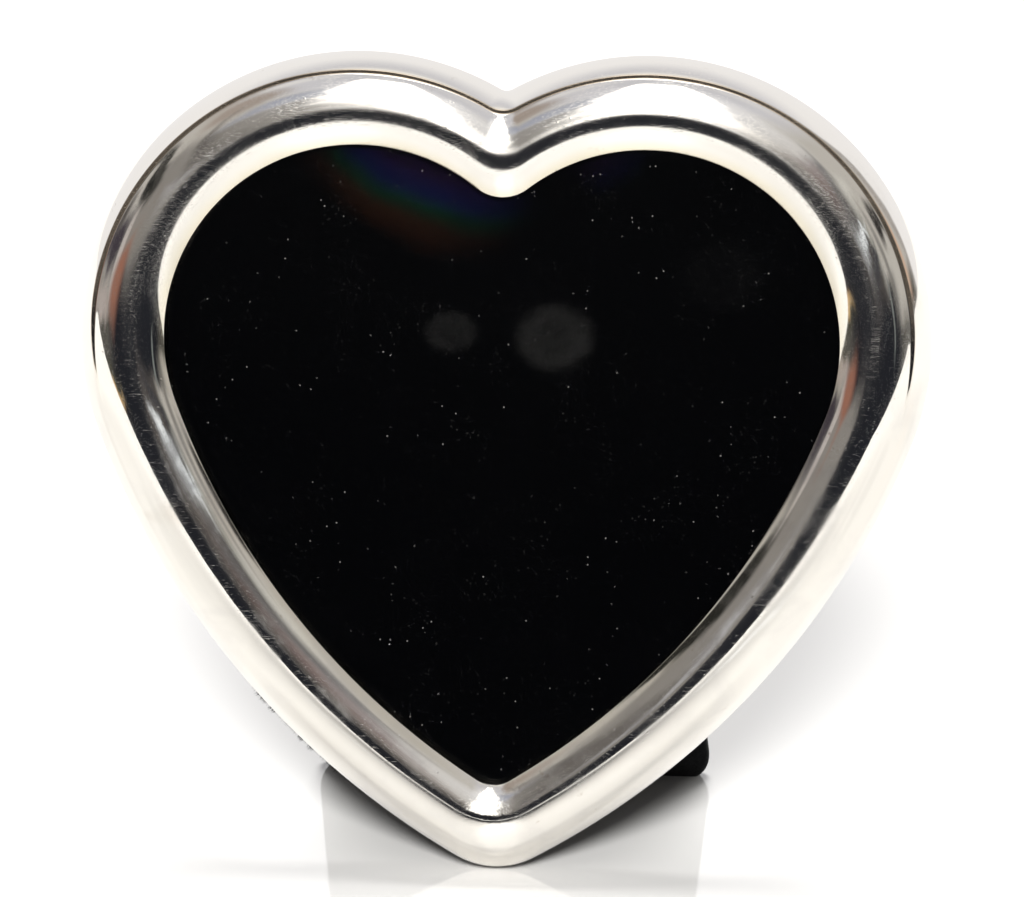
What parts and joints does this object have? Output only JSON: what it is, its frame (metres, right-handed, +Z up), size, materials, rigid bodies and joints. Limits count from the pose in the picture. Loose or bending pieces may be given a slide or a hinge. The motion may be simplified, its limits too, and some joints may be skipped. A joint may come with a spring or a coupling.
{
  "type": "heart shaped photo frame",
  "caption": "Heart shaped tabletop photo frame with a domed polished silver moulding, glazed black aperture, velvet back held by turn buttons and a hinged velvet strut.",
  "frame": {"origin": "on the table, midway across the frame and midway between its foremost and rearmost points, at the bottom centre of its bounding box", "axes": "+X to the viewer's right, +Y away from the viewer, +Z up; the picture faces -Y and leans back 11.5 degrees"},
  "size_m": [0.15, 0.054, 0.1417],
  "materials": {
    "polished_silver": "polished",
    "backing_board": "matte",
    "black_velvet": "matte",
    "clear_glass": "gloss",
    "black_card": "matte",
    "grey_card": "matte",
    "brass_screw": "satin",
    "brass_washer": "satin",
    "door_board": "matte",
    "door_velvet": "matte",
    "hinge_brass": "satin",
    "brass_rivet": "satin",
    "pin_brass": "polished",
    "strut_core": "matte",
    "strut_cloth": "matte",
    "button_brass": "satin"
  },
  "bodies": {
    "frame": {"silver_front": "polished_silver", "backing_ring": "backing_board", "rim_velvet": "black_velvet", "glass_pane": "clear_glass", "insert_card": "black_card", "packing_board": "grey_card", "turn_button_screws": "brass_screw", "turn_button_washers": "brass_washer"},
    "back_door": {"back_board": "door_board", "back_velvet": "door_velvet", "hinge_door_leaf": "hinge_brass", "hinge_door_rivets": "brass_rivet", "hinge_pin": "pin_brass"},
    "strut": {"strut_board": "strut_core", "strut_velvet": "strut_cloth", "hinge_strut_leaf": "hinge_brass", "hinge_strut_rivets": "brass_rivet"},
    "turn_button_upper_right": {"turn_button_upper_right": "button_brass"},
    "turn_button_upper_left": {"turn_button_upper_left": "button_brass"},
    "turn_button_lower_right": {"turn_button_lower_right": "button_brass"},
    "turn_button_lower_left": {"turn_button_lower_left": "button_brass"}
  },
  "joints": [
    {"name": "strut_hinge", "type": "hinge", "parent": "back_door", "child": "strut", "pos_m": [0, 0.00086, 0.08671], "axis": [-1, 0, 0], "range_deg": [0, 27.44]},
    {"name": "door_slide", "type": "slide", "parent": "frame", "child": "back_door", "axis": [0, 0.9799, -0.1994], "range_m": [0, 0.03]},
    {"name": "turn_button_upper_right_turn", "type": "hinge", "parent": "frame", "child": "turn_button_upper_right", "pos_m": [0.05029, 0.00771, 0.12782], "axis": [0, -0.9799, 0.1994], "continuous": true},
    {"name": "turn_button_upper_left_turn", "type": "hinge", "parent": "frame", "child": "turn_button_upper_left", "pos_m": [-0.05029, 0.00771, 0.12782], "axis": [0, -0.9799, 0.1994], "continuous": true},
    {"name": "turn_button_lower_right_turn", "type": "hinge", "parent": "frame", "child": "turn_button_lower_right", "pos_m": [0.04988, -0.0087, 0.04719], "axis": [0, -0.9799, 0.1994], "continuous": true},
    {"name": "turn_button_lower_left_turn", "type": "hinge", "parent": "frame", "child": "turn_button_lower_left", "pos_m": [-0.04988, -0.0087, 0.04719], "axis": [0, -0.9799, 0.1994], "continuous": true}
  ]
}
